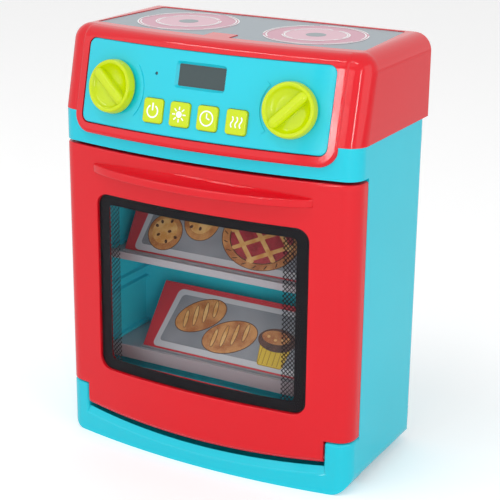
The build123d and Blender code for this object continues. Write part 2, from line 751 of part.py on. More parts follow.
with BuildPart() as hood_room:
    lean_extrude(leaning_outline(hood_side_low - 1, hood_half - wall, at(hood_depth), slab_thick,
                                 hood_corner_r - wall), hood_ceiling - hood_side_low + 1)
    block(*inner_back_block, Mode.SUBTRACT)
    top_edges = hood_room.edges().filter_by_position(Axis.Z, hood_ceiling - 0.1, hood_ceiling + 0.1)
    fillet(top_edges.sort_by(Axis.Y)[:-1], hood_top_round - wall)

with BuildPart() as hood:
    lean_extrude(leaning_outline(hood_side_low, hood_half, at(hood_depth + 1), slab_step,
                                 hood_corner_r), hood_top - hood_side_low)
    block(*back_block, Mode.SUBTRACT)
    top_edges = hood.edges().filter_by_position(Axis.Z, hood_top - 0.1, hood_top + 0.1)
    fillet(top_edges.sort_by(Axis.Y)[:-1], hood_top_round)
    back_edges = hood.faces().sort_by(Axis.Y)[-1].edges()
    fillet(back_edges.filter_by(lambda edge: edge.center().Z > hood_side_low + 1), 1.5)
    add(slab.part)
    add(hood_room.part, mode=Mode.SUBTRACT)
    # the apron hangs in front of the cabinet's strip, and its wall goes on behind the panel
    extrude(bowed_outline(slab_low - 1, half + 5, at(far), -slip), amount=hood_side_low - slab_low + 1,
            mode=Mode.SUBTRACT)
    add(leaning_plate(front_outline(view_y, notch_half - 1, ledge_low, hood_side_low + 1),
                      slab_thick / 2, slab_thick, ledge_low - 1, hood_side_low + 2))
    extrude(front_outline(view_y, panel_half + slip, panel_low - slip, panel_high + slip,
                          panel_corner + slip),
            amount=-(far / 4 + front_foot_depth), mode=Mode.SUBTRACT)
    # recess for the hob sheet, and bosses for the screws from the deck
    extrude(hob_outline(hood_top - hob_sunk, slip / 2), amount=far, mode=Mode.SUBTRACT)
    for side in (-1, 1):
        for screw_x, screw_depth in deck_screw_at:
            rod((side * screw_x, at(screw_depth), hood_side_low), UP, 4.0,
                hood_ceiling - hood_side_low + 0.5)
            rod((side * screw_x, at(screw_depth), hood_side_low), UP, screw_hole_r, 12,
                Mode.SUBTRACT)
finish(hood, "hood")

with BuildPart() as hob_plate:
    extrude(hob_outline(hood_top - hob_sunk, -slip / 2), amount=hob_thick)
finish(hob_plate, "hob_plate")

with BuildPart() as hood_screws:
    for side in (-1, 1):
        for screw_x, screw_depth in deck_screw_at:
            screw((side * screw_x, at(screw_depth), cabinet_top - wall - screw_head_high), UP, 9)
finish(hood_screws, "hood_screws")

# ------------------------------------------------------------------ control panel
mid_plane = panel_plane(0, panel_mid_high)
outward = Axis(mid_plane.origin, mid_plane.z_dir)
panel_back = panel_sunk + panel_thick


def on_panel(x, high):
    """Place on the panel's face, in the middle plane: across, up, and (negative) depth."""
    return mid_plane.to_local_coords(Vector(x, face_y(x, high, panel_sunk), high))


def knob_plane(side):
    """The panel's face at a knob, turned sideways with the bow."""
    slope = knob_x / math.sqrt(bow_r ** 2 - knob_x ** 2)
    return panel_plane(side * knob_x, knob_high, side * math.atan(slope))


def from_depth(x, up, depth, radius, long, mode=Mode.ADD):
    """A round bar behind the panel's middle plane, running backwards."""
    with BuildSketch(mid_plane.offset(-depth)) as end:
        with Locations((x, up)):
            Circle(radius)
    extrude(end.sketch, amount=-long, mode=mode)


def button_view(x, grow):
    """A button's outline, larger by grow on each side."""
    spot = on_panel(x, button_high)
    with BuildSketch(mid_plane) as view:
        with Locations((spot.X, spot.Y)):
            RectangleRounded(button_size[0] + 2 * grow, button_size[1] + 2 * grow,
                             button_corner + grow)
    return view.sketch


def crescent_view(side):
    """Front view of the thin raised arc on the inner side of a knob."""
    with BuildSketch(front_plane(view_y)) as view:
        with Locations((side * knob_x, knob_high)):
            Circle(arc_r[1])
            Circle(arc_r[0], mode=Mode.SUBTRACT)
        with BuildLine():
            reach = 2 * arc_r[1]
            rise = reach * math.tan(math.radians(arc_half_angle))
            Polyline((side * knob_x, knob_high), (side * (knob_x - reach), knob_high + rise),
                     (side * (knob_x - reach), knob_high - rise), close=True)
        make_face(mode=Mode.INTERSECT)
    return view.sketch


panel_view = front_outline(view_y, panel_half, panel_low, panel_high, panel_corner)
panel_inner_view = front_outline(view_y, panel_half - wall, panel_low + wall, panel_high - wall,
                                 panel_corner - wall)
display_spot = on_panel(*display_at)
light_spot = on_panel(*light_at)

with BuildPart() as control_panel:
    add(leaning_plate(panel_view, panel_sunk, panel_back, panel_low - 1, panel_high + 1))
    fillet(control_panel.faces().sort_by(outward)[-1].edges(), 0.8)
    # rim through the hood's wall, and a lip behind it
    with BuildPart(mode=Mode.PRIVATE) as rim:
        add(leaning_plate(panel_view, panel_back - 0.5, slab_thick + 1.0, panel_low - 1,
                          panel_high + 1))
        add(leaning_plate(front_outline(view_y, panel_half + panel_lip, ledge_low + slip,
                                        hood_ceiling - hood_top_round + wall - 1, panel_corner),
                          slab_thick + slip / 2, slab_thick + 1.6, ledge_low - 2, panel_high))
        extrude(panel_inner_view, amount=-far, mode=Mode.SUBTRACT)
    add(rim.part)
    # raised frame behind the display and its bevelled opening
    with BuildSketch(mid_plane.offset(-panel_thick / 2)) as backing:
        with Locations((display_spot.X, display_spot.Y)):
            Rectangle(display_frame[0] + 5, display_frame[1] + 5)
    extrude(backing.sketch, amount=-(display_sunk + display_thick - panel_thick / 2))
    with BuildSketch(mid_plane.offset(-display_sunk)) as throat:
        with Locations((display_spot.X, display_spot.Y)):
            RectangleRounded(*display_size, 1.0)
    extrude(throat.sketch, amount=display_sunk + 1, taper=-35, mode=Mode.SUBTRACT)
    with BuildSketch(mid_plane.offset(-display_sunk)) as seat:
        with Locations((display_spot.X, display_spot.Y)):
            Rectangle(*display_frame)
    extrude(seat.sketch, amount=-far, mode=Mode.SUBTRACT)
    # holes for buttons, light and knobs, with the crescents and the board's posts
    for x in button_x:
        extrude(button_view(x, slip), amount=far / 20, both=True, mode=Mode.SUBTRACT)
    from_depth(light_spot.X, light_spot.Y, -2, light_r + 0.15, 12, Mode.SUBTRACT)
    for side in (-1, 1):
        plane = knob_plane(side)
        add(leaning_plate(crescent_view(side), panel_sunk - arc_proud, panel_back - 0.5, panel_low,
                          panel_high))
        rod(plane.origin + plane.z_dir * 3, -plane.z_dir, shaft_r + shaft_fit, 12, Mode.SUBTRACT)
        post_depth = board_depth - panel_thick
        from_depth(side * board_screw_x, board_screw_up, panel_thick, 2.6, post_depth)
        from_depth(side * board_screw_x, board_screw_up, panel_thick + 2, screw_hole_r,
                   post_depth, Mode.SUBTRACT)
finish(control_panel, "control_panel")

with BuildPart() as display_window:
    with BuildSketch(mid_plane.offset(-display_sunk)) as glass:
        with Locations((display_spot.X, display_spot.Y)):
            Rectangle(display_frame[0] - slip, display_frame[1] - slip)
    extrude(glass.sketch, amount=-display_thick)
finish(display_window, "display_window")

with BuildPart() as indicator_light:
    from_depth(light_spot.X, light_spot.Y, 0.8 - light_spot.Z, light_r, 4)
    from_depth(light_spot.X, light_spot.Y, 0.8 - light_spot.Z + panel_thick, 2.4,
               board_depth - 0.8 + light_spot.Z - panel_thick)
finish(indicator_light, "indicator_light")

# ------------------------------------------------------------------ buttons
for number, x in enumerate(button_x, start=1):
    spot = on_panel(x, button_high)
    with BuildPart() as button:
        extrude(button_view(x, 0), amount=spot.Z + button_proud)
        extrude(button_view(x, 0), amount=-panel_thick - 1.5)
        fillet(button.faces().sort_by(outward)[-1].edges(), 1.1)
        with BuildSketch(mid_plane.offset(spot.Z - panel_thick - 1.0)) as flange:
            with Locations((spot.X, spot.Y)):
                Rectangle(button_size[0] + 2.4, button_size[1] + 2.4)
        extrude(flange.sketch, amount=-1.2)
        from_depth(spot.X, spot.Y, panel_thick, 2.5, button_back - panel_thick)
    finish(button, f"button_{number}")

# ------------------------------------------------------------------ knobs
knob_names = ("left_knob", "right_knob")
shaft_end = panel_thick + 0.4
for side, name, turn in zip((-1, 1), knob_names, knob_turn):
    plane = knob_plane(side)
    section = Plane(origin=plane.origin, x_dir=plane.x_dir, z_dir=-plane.y_dir)
    spindle = Axis(plane.origin, plane.z_dir)
    top = knob_lift + knob_thick
    with BuildPart() as knob:
        with BuildSketch(section):
            with BuildLine():
                Polyline((0, knob_lift), (knob_r - 1.2, knob_lift), (knob_r, knob_lift + 1.2))
                Spline((knob_r, knob_lift + 1.2), (knob_r - 0.6, top - 1.6), (knob_r - 2.0, top),
                       tangents=((0, 1), (-1, 0.0)))
                Spline((knob_r - 2.0, top), (knob_r - knob_rim - 1.6, top - 1.5),
                       (knob_r - knob_rim - 4.5, top - knob_dish), (0, top - knob_dish - 0.5),
                       tangents=((-1, 0), (-1, 0)))
                Line((0, top - knob_dish - 0.5), (0, knob_lift))
            make_face()
        revolve(axis=spindle)
        with BuildPart(mode=Mode.PRIVATE) as grip:
            with BuildSketch(plane.offset(knob_lift + 1)) as foot:
                with Locations(Rotation(0, 0, turn)):
                    SlotOverall(2 * (knob_r - knob_rim + 0.4), grip_wide)
            extrude(foot.sketch, amount=top + grip_proud - knob_lift - 1)
            fillet(grip.faces().sort_by(spindle)[-1].edges(), grip_wide * 0.42)
        add(grip.part)
        rod(plane.origin + plane.z_dir * (knob_lift + 1), -plane.z_dir, shaft_r,
            shaft_end + knob_lift + 1)
        rod(plane.origin - plane.z_dir * shaft_end, plane.z_dir, screw_hole_r, shaft_end + 2,
            Mode.SUBTRACT)
    finish(knob, name)
    with BuildPart() as knob_screw:
        seat = plane.origin - plane.z_dir * shaft_end
        rod(seat, -plane.z_dir, 6.5, 1.2)
        rod(seat, plane.z_dir, screw_r, shaft_end + 1)
    finish(knob_screw, f"{name}_screw")

# ------------------------------------------------------------------ electronics
board_up = -3.0
with BuildPart() as circuit_board:
    with BuildSketch(mid_plane.offset(-board_depth)) as outline:
        with Locations((0, board_up)):
            Rectangle(*board_size)
    extrude(outline.sketch, amount=-board_thick)
    for side in (-1, 1):
        from_depth(side * board_screw_x, board_screw_up, board_depth - 1, screw_hole_r + 0.2,
                   board_thick + 2, Mode.SUBTRACT)
    with BuildSketch(mid_plane.offset(-board_depth - board_thick)) as chips:
        with Locations((-12, 4)):
            Circle(6)
        with Locations((14, 6)):
            Rectangle(10, 7)
        with Locations((30, -8)):
            Rectangle(5, 9)
    extrude(chips.sketch, amount=-1.8)
finish(circuit_board, "circuit_board")

with BuildPart() as board_screws:
    for side in (-1, 1):
        head = mid_plane.offset(-board_depth - board_thick - screw_head_high)
        head_at = head.from_local_coords(Vector(side * board_screw_x, board_screw_up, 0))
        screw(head_at, mid_plane.z_dir, board_thick + 5)
finish(board_screws, "board_screws")

with BuildPart() as switch_pad:
    button_up = on_panel(0, button_high).Y
    with BuildSketch(mid_plane.offset(-board_depth)) as sheet:
        with Locations((0, button_up)):
            RectangleRounded(button_x[-1] - button_x[0] + 14, 14, 3)
    extrude(sheet.sketch, amount=pad_thick)
    for x in button_x:
        with BuildSketch(mid_plane.offset(-board_depth + pad_thick)) as dome:
            with Locations((on_panel(x, button_high).X, button_up)):
                Circle(dome_r)
        extrude(dome.sketch, amount=dome_high, taper=20)
finish(switch_pad, "switch_pad")

# ------------------------------------------------------------------ back cover, speaker and batteries
cells_wide = battery_pitch * (battery_count - 1) + 2 * battery_r + 2
box_half = cells_wide / 2 + box_wall
box_deep = 2 * battery_r + 2 * battery_play + box_wall
cell_low = box_low + box_wall
cell_high = cell_low + battery_long + 2 * contact_gap
box_high = cell_high + box_screw_room
box_back = cabinet_depth - cover_thick
door_edge = 0.8               # the battery door rests on so much of the box's rim
battery_screw_z = cell_high + box_screw_room / 2

with BuildPart() as back_cover:
    block((-cover_half + slip, cover_half - slip), (at(box_back), at(cabinet_depth)),
          (cover_low + slip, cover_high - slip))
    block((-cells_wide / 2 - door_edge - slip, cells_wide / 2 + door_edge + slip),
          (at(box_back - 1), at(cabinet_depth + 1)),
          (cell_low - door_edge - slip, box_high - 2 + slip), Mode.SUBTRACT)
    with BuildSketch(front_plane(at(box_back - 1))) as sound_holes:
        with Locations(speaker_at):
            Circle(1.3)
            for ring_r, count in ((6, 6), (12, 12), (17.5, 18)):
                with PolarLocations(ring_r, count):
                    Circle(1.3)
    extrude(sound_holes.sketch, amount=-wall - 2, mode=Mode.SUBTRACT)
    for side in (-1, 1):
        for screw_z in cover_screw_z:
            rod((side * cover_screw_x, at(cabinet_depth + 1), screw_z), (0, -1, 0),
                screw_hole_r + 0.2, wall + 2, Mode.SUBTRACT)
            rod((side * cover_screw_x, at(cabinet_depth + 1), screw_z), (0, -1, 0),
                screw_head_r + slip, screw_head_high + 1.2, Mode.SUBTRACT)
finish(back_cover, "back_cover")

with BuildPart() as back_screws:
    for side in (-1, 1):
        for screw_z in cover_screw_z:
            screw((side * cover_screw_x, at(cabinet_depth - 0.2), screw_z), (0, -1, 0), 10)
finish(back_screws, "back_screws")

with BuildPart() as speaker:
    rod((speaker_at[0], at(box_back), speaker_at[1]), (0, -1, 0), speaker_r, 2)
    rod((speaker_at[0], at(box_back - 2), speaker_at[1]), (0, -1, 0), speaker_r * 0.75, 3)
    rod((speaker_at[0], at(box_back - 5), speaker_at[1]), (0, -1, 0), speaker_r * 0.45,
        speaker_thick - 5)
finish(speaker, "speaker")

with BuildPart() as battery_box:
    block((-box_half, box_half), (at(box_back - box_deep), at(box_back)), (box_low, box_high))
    block((-cells_wide / 2, cells_wide / 2), (at(box_back - box_deep + box_wall), at(box_back + 1)),
          (cell_low, cell_high), Mode.SUBTRACT)
    rod((0, at(box_back + 1), battery_screw_z), (0, -1, 0), screw_hole_r, 11, Mode.SUBTRACT)
finish(battery_box, "battery_box")

cell_x = [battery_pitch * (n - (battery_count - 1) / 2) for n in range(battery_count)]
cell_y = at(box_back - battery_r - battery_play)
with BuildPart() as batteries:
    for x in cell_x:
        rod((x, cell_y, cell_low + contact_gap), UP, battery_r, battery_long - 1)
        rod((x, cell_y, cell_low + contact_gap), UP, 2.6, battery_long)
finish(batteries, "batteries")

with BuildPart() as battery_contacts:
    for x in cell_x:
        for end_z, direction in ((cell_low, 1), (cell_high, -1)):
            limits = sorted((end_z, end_z + direction * contact_thick))
            block((x - 6, x + 6), (cell_y - 6, cell_y + 6), limits)
            rod((x, cell_y, end_z + direction * contact_thick), (0, 0, direction), contact_r,
                contact_gap - contact_thick)
finish(battery_contacts, "battery_contacts")

with BuildPart() as battery_door:
    block((-cells_wide / 2 - door_edge, cells_wide / 2 + door_edge), (at(box_back), at(cabinet_depth)),
          (cell_low - door_edge, box_high - 2))
    for rib in range(4):
        block((-12, 12), (at(cabinet_depth - 0.1), at(cabinet_depth + 0.6)),
              (cell_low + 8 + 4 * rib, cell_low + 9.5 + 4 * rib))
    rod((0, at(cabinet_depth + 1), battery_screw_z), (0, -1, 0), screw_hole_r + 0.2, wall + 2,
        Mode.SUBTRACT)
    rod((0, at(cabinet_depth + 1), battery_screw_z), (0, -1, 0), screw_head_r + slip,
        screw_head_high + 1.2, Mode.SUBTRACT)
finish(battery_door, "battery_door")

with BuildPart() as battery_door_screw:
    screw((0, at(cabinet_depth - 0.2), battery_screw_z), (0, -1, 0), 8)
finish(battery_door_screw, "battery_door_screw")
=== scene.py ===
# %% [markdown]
# # A toy oven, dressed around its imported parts
#
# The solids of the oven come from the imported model, and Blender gives them their finishes. This
# script adds what is printed on them: rings on the hob, signs on the buttons, the black net on the
# window and the pictures of food on two cards.

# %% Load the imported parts
import math

import bmesh
import bpy
from mathutils import Matrix, Vector


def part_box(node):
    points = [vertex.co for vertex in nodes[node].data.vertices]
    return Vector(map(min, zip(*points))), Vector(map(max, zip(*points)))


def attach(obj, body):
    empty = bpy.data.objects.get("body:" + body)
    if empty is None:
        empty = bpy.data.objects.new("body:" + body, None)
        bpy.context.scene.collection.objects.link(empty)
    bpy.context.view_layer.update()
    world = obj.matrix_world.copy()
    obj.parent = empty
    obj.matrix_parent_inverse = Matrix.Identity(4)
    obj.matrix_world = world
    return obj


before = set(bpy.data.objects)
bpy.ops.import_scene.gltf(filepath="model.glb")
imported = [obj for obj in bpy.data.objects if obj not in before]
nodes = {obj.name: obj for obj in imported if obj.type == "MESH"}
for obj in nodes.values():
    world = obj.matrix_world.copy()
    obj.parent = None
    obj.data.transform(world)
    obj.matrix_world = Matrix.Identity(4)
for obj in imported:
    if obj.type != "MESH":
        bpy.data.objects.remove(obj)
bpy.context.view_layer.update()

# %% [markdown]
# The real toy is measured in millimetres and Blender works in metres, so one constant turns the
# one into the other. All fronts of the oven follow the same bow in plan. The prints that lie on
# them need that bow again, so it is written here once.

# %% Sizes that the printed pieces share with the solids
MM = 0.001
BOW_RADIUS = 533.34           # radius of the bow in plan
BOW_RISE = 12.0
FRONT_LINE = -42.25           # Y of the front corners
HOOD_LEAN = math.radians(13.75)


def bow_y(x, inset):
    """Y of a surface that follows the bow, so far inside the front."""
    centre = FRONT_LINE + BOW_RADIUS - BOW_RISE
    return centre - math.sqrt((BOW_RADIUS - inset) ** 2 - x ** 2)


print("middle of the front at", round(bow_y(0, 0), 2), "mm")

# %% [markdown]
# ## Camera
#
# The camera stands in front of the oven, a little to its right and above it. It is placed by its
# angles round the oven, and a long lens gives the mild perspective of a product picture.

# %% Camera
AZIMUTH, ELEVATION, ROLL = math.radians(28.95), math.radians(18.71), math.radians(0.63)
CAMERA_AT = Vector((466.57, -820.83, 463.10)) * MM
LENS_MM = 102.83

back = Vector((math.sin(AZIMUTH) * math.cos(ELEVATION), -math.cos(AZIMUTH) * math.cos(ELEVATION),
               math.sin(ELEVATION)))
level_right = (-back).cross(Vector((0, 0, 1))).normalized()
level_up = back.cross(level_right)
right = math.cos(ROLL) * level_right + math.sin(ROLL) * level_up
up = -math.sin(ROLL) * level_right + math.cos(ROLL) * level_up
turn = Matrix((right, up, back)).transposed().to_4x4()

camera = bpy.data.objects.new("camera", bpy.data.cameras.new("camera"))
bpy.context.scene.collection.objects.link(camera)
camera.matrix_world = Matrix.Translation(CAMERA_AT) @ turn
camera.data.lens = LENS_MM
camera.data.clip_start, camera.data.clip_end = 0.01, 20
bpy.context.scene.camera = camera
print("camera at", [round(v, 3) for v in camera.location])

# %% [markdown]
# ## Nodes and colours
#
# A material is a small tree of nodes. One function adds a node, sets it up and joins it to the
# others. Colours are written as on a paint card, in sRGB, and turned into the linear values that
# the renderer calculates with.


# %% Helpers for materials
def colour(code, alpha=1.0):
    """Linear colour from an sRGB code such as E8303E."""
    parts = [int(code[i:i + 2], 16) / 255 for i in (0, 2, 4)]
    return [c / 12.92 if c <= 0.04045 else ((c + 0.055) / 1.055) ** 2.4 for c in parts] + [alpha]


def add(tree, kind, values=None, links=None, **settings):
    """One node with its settings, the values of its sockets, and the links into them."""
    node = tree.nodes.new("ShaderNode" + kind)
    for name, value in settings.items():
        setattr(node, name, value)
    for socket, value in (values or {}).items():
        node.inputs[socket].default_value = value
    for socket, source in (links or {}).items():
        tree.links.new(source, node.inputs[socket])
    return node


def start(name, **values):
    """A new material with its Principled shader and the object's own coordinates."""
    material = bpy.data.materials.new(name)
    material.use_nodes = True
    shader = material.node_tree.nodes["Principled BSDF"]
    for socket, value in values.items():
        shader.inputs[socket.replace("_", " ")].default_value = value
    place = add(material.node_tree, "TexCoord").outputs["Object"]
    return material, material.node_tree, shader, place


print("red in linear values:", [round(c, 3) for c in colour("E8303E")])

# %% [markdown]
# ## Moulded plastic
#
# The shells are ABS, injection moulded in polished tools and coloured right through. ABS has an
# IOR of about 1.53. What the eye sees is a smooth gloss that is broken up by a faint waviness
# where the wall has shrunk over its ribs, by a fine skin texture, and by patches where hands have
# dulled it. Each of these is one noise texture, and its scale is worked out from its real size.


# %% Materials of the moulded parts
WAVE_MM = 34.0                # shrink waves over the ribs
SKIN_MM = 1.4                 # fine skin, drawn coarser than the real 0.3 mm so that it shows
SMEAR_MM = 22.0               # patches dulled by hands
SPECK_MM = 0.9                # pigment that isn't spread quite evenly


def moulded(name, code, shade, rough=(0.07, 0.13), wave=0.010, skin=0.0015, ior=1.53):
    """Moulded plastic: code is its colour and shade the slightly deeper one it drifts to."""
    material, tree, shader, place = start(name, IOR=ior, Specular_IOR_Level=0.36)
    drift = add(tree, "TexNoise", {"Scale": 1000 / (2 * WAVE_MM), "Detail": 2.0}, {"Vector": place})
    speck = add(tree, "TexNoise", {"Scale": 1000 / SPECK_MM, "Detail": 1.0}, {"Vector": place})
    both = add(tree, "Math", {1: 0.06}, {0: speck.outputs["Fac"], 2: drift.outputs["Fac"]},
               operation="MULTIPLY_ADD")
    span = add(tree, "MapRange", {"From Min": 0.4, "From Max": 0.9}, {"Value": both.outputs[0]})
    tone = add(tree, "Mix", {6: colour(code), 7: colour(shade)}, {0: span.outputs[0]},
               data_type="RGBA")
    tree.links.new(tone.outputs[2], shader.inputs["Base Color"])
    smear = add(tree, "TexNoise", {"Scale": 1000 / SMEAR_MM, "Detail": 5.0, "Roughness": 0.65},
                {"Vector": place})
    gloss = add(tree, "MapRange", {"From Min": 0.35, "From Max": 0.7, "To Min": rough[0],
                                   "To Max": rough[1]}, {"Value": smear.outputs["Fac"]})
    tree.links.new(gloss.outputs[0], shader.inputs["Roughness"])
    ripple = add(tree, "TexNoise", {"Scale": 1000 / WAVE_MM, "Detail": 1.0}, {"Vector": place})
    fine = add(tree, "TexNoise", {"Scale": 1000 / SKIN_MM, "Detail": 2.0}, {"Vector": place})
    slow = add(tree, "Bump", {"Strength": 1.0, "Distance": wave * MM},
               {"Height": ripple.outputs["Fac"]})
    bump = add(tree, "Bump", {"Strength": 1.0, "Distance": skin * MM},
               {"Height": fine.outputs["Fac"], "Normal": slow.outputs[0]})
    tree.links.new(bump.outputs[0], shader.inputs["Normal"])
    return material


turquoise = moulded("turquoise_ABS", "12C4D8", "10C0D4")
# The oven liner is the cabinet's own turquoise plastic. It is painted lighter here to stand in for
# the light that reaches the cavity behind the window.
liner_turquoise_painted_light = moulded("turquoise_liner_painted_light", "3CDDF0", "38D8EB")
red = moulded("red_ABS", "D80A1C", "D4081A")
lime = moulded("lime_ABS", "C4D800", "C0D400", rough=(0.14, 0.22))
grey = moulded("grey_polypropylene", "B4B2B8", "AEACB2", rough=(0.34, 0.5), skin=0.004, ior=1.49)
black_plastic = moulded("black_polystyrene", "26272A", "202124", rough=(0.35, 0.5), ior=1.59)
moulded_finishes = (turquoise, liner_turquoise_painted_light, red, lime, grey, black_plastic)
print("moulded finishes:", [material.name for material in moulded_finishes])

# %% [markdown]
# ## Clear and printed surfaces
#
# The window is a clear polystyrene sheet that was pressed into the bow. Light passes straight
# through it, so it is mostly transparent, with a little grey of its own and a sharp gloss. The
# display is a smoked cover over a grey-green LCD. The hob is a printed film with a satin coat.


# %% Window, display and film
def printed(name, code, shade, rough=0.34, grain_mm=0.6, depth=0.004, sheen=0.5):
    """Ink or film: an even colour with a fine grain; sheen is how much it mirrors."""
    material, tree, shader, place = start(name, IOR=1.5, Roughness=rough,
                                          Specular_IOR_Level=sheen)
    grain = add(tree, "TexNoise", {"Scale": 1000 / grain_mm, "Detail": 2.0}, {"Vector": place})
    tone = add(tree, "Mix", {6: colour(code), 7: colour(shade)}, {0: grain.outputs["Fac"]},
               data_type="RGBA")
    tree.links.new(tone.outputs[2], shader.inputs["Base Color"])
    bump = add(tree, "Bump", {"Strength": 1.0, "Distance": depth * MM},
               {"Height": grain.outputs["Fac"]})
    tree.links.new(bump.outputs[0], shader.inputs["Normal"])
    return material


SCRATCH_MM = 9.0              # distance between hairline marks


def clear_sheet(name, code, alpha):
    """Clear polystyrene: smooth, with hairline marks that only show in the gloss."""
    material, tree, shader, place = start(name, IOR=1.59, Alpha=alpha, Base_Color=colour(code))
    stretched = add(tree, "Mapping", {"Scale": (1.0, 1.0, 12.0), "Rotation": (0.0, 0.5, 0.0)},
                    {"Vector": place})
    lines = add(tree, "TexNoise", {"Scale": 1000 / SCRATCH_MM, "Detail": 6.0},
                {"Vector": stretched.outputs[0]})
    gloss = add(tree, "MapRange", {"From Min": 0.3, "From Max": 0.75, "To Min": 0.05,
                                   "To Max": 0.16}, {"Value": lines.outputs["Fac"]})
    tree.links.new(gloss.outputs[0], shader.inputs["Roughness"])
    return material


clear_window = clear_sheet("clear_polystyrene", "20282C", 0.05)
display_cover = printed("smoked_display_cover", "2E4042", "2A3C3E", rough=0.14, grain_mm=3.0,
                        depth=0.002)
hob_film = printed("hob_film_grey", "87959E", "839099", rough=0.30)
black_ink = printed("black_screen_ink", "19171B", "151317", rough=0.25, sheen=0.08)
print("clear and printed:", clear_window.name, display_cover.name, hob_film.name, black_ink.name)

# %% [markdown]
# ## Metal, rubber and the inner parts
#
# The screws and contacts are zinc plated steel, whose faint crystal pattern is drawn as coarse
# as it needs to show. The parts behind the panel are seen only through gaps, but they get what
# they are made of: a green glass-fibre board, a silicone rubber pad, a paper cone and cells in a
# printed wrap.

# %% Materials of small and inner parts
CRYSTAL_MM = 0.8              # size of the zinc's crystals
WRAP_MEETS = (0.012, 0.0125)  # X where the two colours of the wrap meet, in metres


def plated(name, code, rough):
    """Zinc plated steel with a faint crystal pattern."""
    material, tree, shader, place = start(name, Metallic=1.0, Base_Color=colour(code))
    cells = add(tree, "TexVoronoi", {"Scale": 1000 / CRYSTAL_MM}, {"Vector": place})
    gloss = add(tree, "MapRange", {"To Min": rough, "To Max": rough + 0.15},
                {"Value": cells.outputs["Distance"]})
    tree.links.new(gloss.outputs[0], shader.inputs["Roughness"])
    return material


def banded(name, codes, low, high):
    """A printed wrap with two colours that meet across the length of the cells."""
    material, tree, shader, place = start(name, IOR=1.5, Roughness=0.3)
    across = add(tree, "SeparateXYZ", links={0: place})
    step = add(tree, "MapRange", {"From Min": low, "From Max": high}, {"Value": across.outputs[0]})
    tone = add(tree, "Mix", {6: colour(codes[0]), 7: colour(codes[1])}, {0: step.outputs[0]},
               data_type="RGBA")
    tree.links.new(tone.outputs[2], shader.inputs["Base Color"])
    return material


zinc = plated("zinc_plated_steel", "B9BABD", 0.25)
board_green = printed("glass_fibre_board", "2F7A3E", "276B35", rough=0.4, grain_mm=1.2)
rubber = printed("silicone_rubber", "7C7C7E", "747476", rough=0.6, grain_mm=0.8)
paper_cone = printed("paper_cone", "2C2B2C", "242324", rough=0.7, grain_mm=0.7, depth=0.03)
light_lens = printed("light_lens", "43484D", "3A3F44", rough=0.18)
cell_wrap = banded("battery_wrap", ("3C5A9A", "C9A24A"), *WRAP_MEETS)
card_red = printed("coated_card_red", "D6404A", "CE3A44", rough=0.4)
print("inner finishes:", zinc.name, board_green.name, rubber.name, paper_cone.name, cell_wrap.name)

# %% [markdown]
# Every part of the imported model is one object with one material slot. A table says which parts
# are made of which material, and the loop stops if a part was forgotten.

# %% Give every part its material
made_of = {
    turquoise: ["cabinet_shell", "control_panel", "back_cover", "battery_door"],
    liner_turquoise_painted_light: ["oven_liner"],
    red: ["hood", "door_panel", "door_inner_frame"],
    lime: ["left_knob", "right_knob", "button_1", "button_2", "button_3", "button_4"],
    grey: ["upper_rack", "lower_rack", "door_catch"],
    clear_window: ["window_pane"],
    black_ink: ["window_border"],
    display_cover: ["display_window"],
    hob_film: ["hob_plate"],
    zinc: ["hinge_pins", "door_screws", "hood_screws", "left_knob_screw", "right_knob_screw",
           "board_screws", "back_screws", "battery_contacts", "battery_door_screw"],
    board_green: ["circuit_board"],
    rubber: ["switch_pad"],
    black_plastic: ["battery_box"],
    paper_cone: ["speaker"],
    light_lens: ["indicator_light"],
    cell_wrap: ["batteries"],
    card_red: ["upper_food_card", "lower_food_card"],
}

dressed = set()
for material, names in made_of.items():
    for name in names:
        nodes[name].data.materials.clear()
        nodes[name].data.materials.append(material)
        dressed.add(name)
assert dressed == set(nodes), sorted(set(nodes) - dressed)
print("parts with a material:", len(dressed))

# %% [markdown]
# ## Printing
#
# A print is a very thin layer of ink, so each printed shape is a flat pad that stands a few
# hundredths of a millimetre above what carries it. Pads are drawn flat, on the XY plane, and
# then moved onto the part. A pad starts as a filled circle or a strip, is scaled and turned, and
# is given its thickness by extruding it.

# %% Helpers for printed pieces
INK = 0.06                    # thickness of one layer, in mm
INK_GAP = 0.01                # air between a print and what carries it, so that they never mix


def thicken(bm, faces, layer, ink, thick=INK):
    """Raise flat faces into a pad whose foot is at the given layer."""
    grown = bmesh.ops.extrude_face_region(bm, geom=faces)["geom"]
    verts = [g for g in grown if isinstance(g, bmesh.types.BMVert)]
    bmesh.ops.translate(bm, vec=(0, 0, thick), verts=verts)
    pad = {f for v in verts for f in v.link_faces} | {f for f in faces if f.is_valid}
    for face in pad:
        face.material_index = ink
    every = list({v for f in pad for v in f.verts})
    bmesh.ops.translate(bm, vec=(0, 0, layer * thick), verts=every)
    return every


def spot(bm, centre, size, layer, ink, turned=0.0, sides=32):
    """A round or oval pad."""
    verts = bmesh.ops.create_circle(bm, cap_ends=True, radius=1.0, segments=sides)["verts"]
    place = (Matrix.Translation((*centre, 0)) @ Matrix.Rotation(turned, 4, "Z")
             @ Matrix.Diagonal((size[0], size[1], 1, 1)))
    bmesh.ops.transform(bm, matrix=place, verts=verts)
    return thicken(bm, list(verts[0].link_faces), layer, ink)


